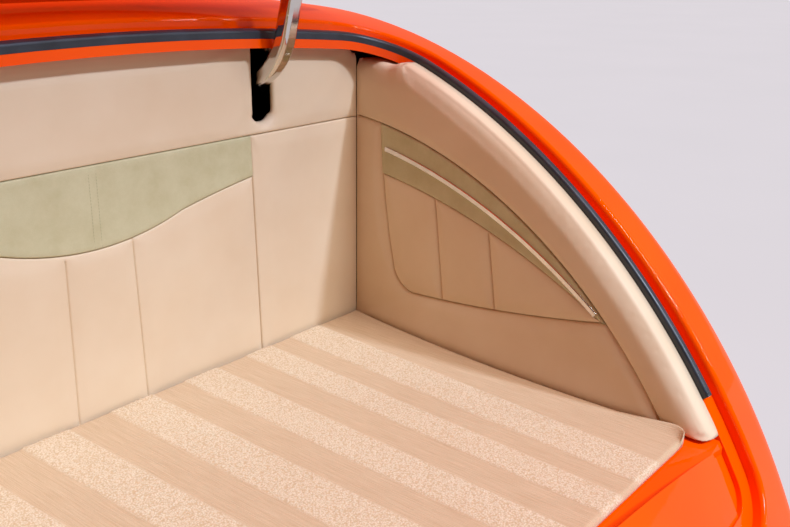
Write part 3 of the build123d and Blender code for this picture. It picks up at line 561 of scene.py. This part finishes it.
def padFront(spec, turn):
    # plan of the front's points, its triangles, how far each point lies behind the face, and how far
    # it is from a seam
    section = padSpec["sections"][spec["on"]]
    outline = sectionLoops(spec["nodes"][0], turn, section["cut"])[0]
    outline = outline if signedArea(outline) > 0 else outline[::-1]
    if "ease" in spec:
        outline = easedLoop(outline, spec["ease"])
    outline = resampled(outline, padSpec["edgeStep"])
    outline = outline + inwardNormals(outline) * padSpec["gap"]
    faces = facing(outline, spec["on"])
    after = np.roll(outline, -1, 0)
    rounds = {"corner": padSpec["cornerRound"], **spec["round"]}
    groups = [(outline[faces == way], after[faces == way], radius) for way, radius in rounds.items()]
    count = len(outline)
    loops, lines, sets = [list(range(count))], [], [outline]
    ringed = [outline + inwardNormals(outline) * ring for ring in padSpec["rings"]]
    for ends in spec.get("seams", []):
        first, last = np.array(ends[0], float), np.array(ends[1], float)
        long = int(np.linalg.norm(last - first) / padSpec["edgeStep"])
        seam = first + (last - first) * np.linspace(0, 1, long + 1)[:, None]
        seam = seam[insideOf(seam, outline) & (distanceTo(seam, outline, after) > padSpec["seamEnd"])]
        across = np.array([last[1] - first[1], first[0] - last[0]]) / np.linalg.norm(last - first)
        ringed += [seam + across * ring * side for ring in padSpec["rings"][:-1] for side in (1, -1)]
        groups.append((seam[:-1], seam[1:], spec["seamRound"]))
        lines.append(list(range(count, count + len(seam))))
        sets.append(seam)
        count += len(seam)
    channel = spec.get("channel")
    pockets = []
    if channel:
        for loop in sectionLoops(spec["nodes"][0], turn, channel["cut"]):
            if abs(signedArea(loop)) < 0.5 * abs(signedArea(outline)):
                pocket = resampled(loop if signedArea(loop) > 0 else loop[::-1], padSpec["edgeStep"])
                ringed.append(pocket - inwardNormals(pocket) * channel["lip"])
                pockets.append(pocket)
                lines.append(list(range(count, count + len(pocket))) + [count])
                sets.append(pocket)
                count += len(pocket)
    starts = np.concatenate([g[0] for g in groups] + pockets)
    ends = np.concatenate([g[1] for g in groups] + [np.roll(p, -1, 0) for p in pockets])
    for ring in ringed:
        far = distanceTo(ring, starts, ends)
        wanted = np.median(far)
        sets.append(ring[(far > padSpec["ringShare"] * wanted) & insideOf(ring, outline)])
    low, high = outline.min(0), outline.max(0)
    step = padSpec["step"]
    rows = np.arange(low[1], high[1], step * math.sqrt(3) / 2)
    columns = np.arange(low[0], high[0], step)
    grid = np.array([(u + (step / 2 if i % 2 else 0), v) for i, v in enumerate(rows) for u in columns])
    sets.append(grid[insideOf(grid, outline) & (distanceTo(grid, starts, ends) > padSpec["clear"])])
    plan, triangles = triangulated(np.concatenate(sets), loops, lines)
    behind = np.zeros(len(plan))
    seamDistance = np.full(len(plan), 1e9)
    for first, last, radius in groups:
        if len(first):
            distance = distanceTo(plan, first, last)
            behind = np.maximum(behind, quarterRound(distance, radius))
            seamDistance = np.minimum(seamDistance, distance)
    behind += padSpec["sink"] * np.clip(seamDistance / padSpec["sinkRun"], 0, 1)
    bow = spec.get("bow")
    if bow:
        reach = 1 - ((plan[:, 0] - bow["middle"]) / bow["half"])**2 - (plan[:, 1] - floorZ) / bow["height"]
        behind -= bow["soft"] * np.logaddexp(0, bow["out"] * reach / bow["soft"])
    for pocket in pockets:
        edge = distanceTo(plan, pocket, np.roll(pocket, -1, 0))
        inPocket = insideOf(plan, pocket) | (edge < 0.1)
        behind = np.where(inPocket, channel["floor"], behind)
        seamDistance = np.where(inPocket | (edge < channel["rim"]), 0, seamDistance)
    return plan, triangles, behind, seamDistance


def closedPad(name, spec, turn):
    plan, triangles, behind, seamDistance = padFront(spec, turn)
    back = padSpec["sections"][spec["on"]]["back"]
    front = np.column_stack([plan, behind])
    sides = dict.fromkeys((t[i], t[(i + 1) % 3]) for t in triangles for i in range(3))
    onward = dict((a, b) for a, b in sides if (b, a) not in sides)
    rim = [next(iter(onward))]
    while onward[rim[-1]] != rim[0]:
        rim.append(onward[rim[-1]])
    drawn = plan[rim]
    if "tuck" in spec:
        close = np.abs(np.abs(drawn[:, :1]) - spec["tuck"]["near"]) < spec["tuck"]["within"]
        drawn = drawn + inwardNormals(drawn) * spec["tuck"]["by"] * close
    rear = np.column_stack([drawn, np.full(len(rim), back)])
    total = len(front)
    spine = [total + i for i in range(len(rim))]
    walls = [(rim[(i + 1) % len(rim)], rim[i], spine[i], spine[(i + 1) % len(rim)]) for i in range(len(rim))]
    points = np.concatenate([front, rear])
    mesh = bpy.data.meshes.new(name)
    mesh.from_pydata(points.tolist(), [], triangles + walls + [tuple(spine[::-1])])
    pad = bpy.data.objects.new(name, mesh)
    scene.collection.objects.link(pad)
    tidyNormals(mesh)
    loose = np.concatenate([seamDistance > padSpec["held"], np.zeros(len(rear), bool)])
    return pad, points, loose


def tidyNormals(mesh):
    work = bmesh.new()
    work.from_mesh(mesh)
    bmesh.ops.recalc_face_normals(work, faces=work.faces)
    work.to_mesh(mesh)
    work.free()
    mesh.polygons.foreach_set("use_smooth", [True] * len(mesh.polygons))


def pointsOf(mesh):
    flat = np.empty(len(mesh.vertices) * 3, np.float32)
    mesh.vertices.foreach_get("co", flat)
    return flat.reshape(-1, 3).astype(float)


def inflated(pad, points, loose, cap):
    # cloth under pressure, in metres, its seams, walls and back held, and no point moving past the cap
    pad.data.vertices.foreach_set("co", (points / 1000).astype(np.float32).ravel())
    held = pad.vertex_groups.new(name="held")
    held.add([int(i) for i in np.nonzero(~loose)[0]], 1.0, "REPLACE")
    cloth = pad.modifiers.new("foam", "CLOTH")
    cloth.settings.quality = padSpec["quality"]
    cloth.settings.use_pressure = True
    cloth.settings.uniform_pressure_force = padSpec["pressure"]
    cloth.settings.vertex_group_mass = "held"
    cloth.settings.effector_weights.gravity = 0
    cloth.point_cache.frame_end = padSpec["frames"]
    for step in range(1, padSpec["frames"] + 1):
        scene.frame_set(step)
    blown = pad.evaluated_get(bpy.context.evaluated_depsgraph_get()).to_mesh()
    moved = pointsOf(blown) * 1000 - points
    pad.modifiers.clear()
    scene.frame_set(1)
    length = np.linalg.norm(moved, axis=1)
    return points + moved * np.minimum(1, cap / np.maximum(length, 1e-9))[:, None]


def finishPad(piece, spec, node):
    piece.data.materials.append(finishes[spec["slot"]])
    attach(piece, "root")
    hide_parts(node)


def makePads():
    for name, spec in padSpec["pads"].items():
        turn = liningFrame(spec["on"])
        twin = len(spec["nodes"]) > 1
        piece, points, loose = closedPad(name + ("Right" if twin else ""), spec, turn)
        points = inflated(piece, points, loose, spec.get("cap", padSpec["cap"]))
        piece.data.vertices.foreach_set("co", points.astype(np.float32).ravel())
        piece.data.transform(turn.inverted())
        tidyNormals(piece.data)
        if twin:
            other = bpy.data.objects.new(name + "Left", piece.data.copy())
            other.data.transform(Matrix.Scale(-1, 4, (1, 0, 0)))
            other.data.flip_normals()
            scene.collection.objects.link(other)
            finishPad(other, spec, spec["nodes"][1])
        finishPad(piece, spec, spec["nodes"][0])
        print("pad", name, len(piece.data.polygons))


# Two rows of top stitching down the middle of the bulkhead's suede
stitchSpec = {"rows": (-4.0, 7.5), "from": 246, "to": 356, "pitch": 4.4, "length": 3.2, "radius": 0.42,
              "depth": 0.1, "dive": 1.4, "tip": 0.08, "sides": 6, "rings": 5}


def makeStitches():
    spec = stitchSpec
    work = bmesh.new()
    for x in spec["rows"]:
        for z in np.arange(spec["from"], spec["to"], spec["pitch"]):
            rings = []
            for t in np.linspace(-1, 1, spec["rings"]):
                radius = spec["radius"] * math.sqrt(max(1 - t * t, spec["tip"]))
                dip = spec["radius"] * spec["dive"] * t * t
                centre = (x, bulkheadY + spec["depth"] + dip, z + t * spec["length"] / 2)
                angles = [2 * math.pi * i / spec["sides"] for i in range(spec["sides"])]
                rings.append([work.verts.new(at(centre[0] + radius * math.cos(a),
                                                centre[1] + radius * math.sin(a), centre[2])) for a in angles])
            for low, high in zip(rings, rings[1:]):
                for i in range(spec["sides"]):
                    j = (i + 1) % spec["sides"]
                    work.faces.new((low[i], low[j], high[j], high[i]))
            work.faces.new(rings[0][::-1])
            work.faces.new(rings[-1])
    mesh = bpy.data.meshes.new("suedeStitches")
    work.to_mesh(mesh)
    work.free()
    tidyNormals(mesh)
    stitches = bpy.data.objects.new("suedeStitches", mesh)
    scene.collection.objects.link(stitches)
    mesh.materials.append(waxedThread())
    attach(stitches, "root")
    print("stitches", len(mesh.polygons))


# Carpet: bands of cut cord, given from left to right across it, with loops between. They fan out a
# little towards the bulkhead. At its rear corners a lip turns up against the side lining.
carpetSpec = {
    "bands": [(-462, -398), (-332, -268), (-202, -138), (-72, -8), (62, 118), (180, 237), (290, 334), (402, 520)],
    "fan": 0.00018, "fanMiddle": 340, "edgeSoft": 3.0, "grid": 2.9, "loopHeight": 1.5, "loopSpread": 0.35,
    "cornerRadius": 26, "edgeRound": 6, "lipHeight": 13, "lipRun": 110, "lipWidth": 26, "seed": 7, "gap": 2.0,
}


def makeCarpet():
    spec = carpetSpec
    bow = padSpec["pads"]["sideLower"]["bow"]
    length = (carpetHigh.y - carpetLow.y) * 1000 - spec["gap"]
    rows = int(length / spec["grid"])
    columns = int(2 * liningHalf / spec["grid"])
    radius = spec["cornerRadius"]
    y = np.linspace(0, length, rows + 1)
    bowed = bow["out"] * np.clip(1 - ((y - bow["middle"]) / bow["half"])**2, 0, 1)
    half = liningHalf - liningTaper * (bulkheadY - y) - bowed - spec["gap"]
    corner = np.clip(radius - y, 0, radius)
    half = half - (radius - np.sqrt(radius**2 - corner**2))
    gridX = half[:, None] * np.linspace(-1, 1, columns + 1)[None, :]
    gridY = np.repeat(y[:, None], columns + 1, axis=1)
    fanned = gridX / (1 + spec["fan"] * (gridY - spec["fanMiddle"]))
    ribbed = np.zeros_like(gridX)
    for left, right in spec["bands"]:
        inside = np.minimum(fanned - left, right - fanned) / spec["edgeSoft"]
        ribbed = np.maximum(ribbed, np.clip(0.5 + inside, 0, 1))
    loops = np.random.default_rng(spec["seed"]).normal(0, 1, gridX.shape)
    pile = (1 - ribbed) * (spec["loopHeight"] + spec["loopSpread"] * loops)
    toSide = half[:, None] - np.abs(gridX)
    toEdge = np.minimum(np.minimum(toSide, gridY), length - gridY)
    rounded = quarterRound(toEdge, spec["edgeRound"])
    nearSide = np.clip(1 - toSide / spec["lipWidth"], 0, 1)
    nearRear = np.clip(1 - gridY / spec["lipRun"], 0, 1)
    lip = spec["lipHeight"] * nearSide**2 * nearRear
    gridZ = pile + lip - rounded
    points = np.stack([gridX, gridY, gridZ], axis=-1).reshape(-1, 3)
    index = np.arange(len(points)).reshape(rows + 1, columns + 1)
    quads = np.stack([index[:-1, :-1], index[:-1, 1:], index[1:, 1:], index[1:, :-1]], axis=-1).reshape(-1, 4)
    ring = np.concatenate([index[0, :-1], index[:-1, -1], index[-1, :0:-1], index[:0:-1, 0]])
    foot = points[ring].copy()
    foot[:, 2] = floorZ
    under = np.arange(len(ring)) + len(points)
    walls = np.stack([np.roll(ring, -1), ring, under, np.roll(under, -1)], axis=-1)
    faces = [tuple(q) for q in quads.tolist() + walls.tolist()] + [tuple(under[::-1].tolist())]
    mesh = bpy.data.meshes.new("carpetPile")
    points = np.concatenate([points, foot])
    mesh.from_pydata([tuple(at(*p)) for p in points.tolist()], [], faces)
    shade = mesh.attributes.new("ribbed", "FLOAT", "POINT")
    shade.data.foreach_set("value", np.concatenate([ribbed.ravel(), np.zeros(len(ring))]).astype(np.float32))
    mesh.polygons.foreach_set("use_smooth", [True] * len(mesh.polygons))
    carpet = bpy.data.objects.new("carpetPile", mesh)
    scene.collection.objects.link(carpet)
    mesh.materials.append(finishes["carpet"])
    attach(carpet, "root")
    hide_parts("carpet")
    print("carpet", len(mesh.polygons))


makeCamera()
makeLights()
makeSurround()
makeFloor()
print("studio set")
dressNodes()
makePads()
makeStitches()
makeCarpet()
print("pieces made")
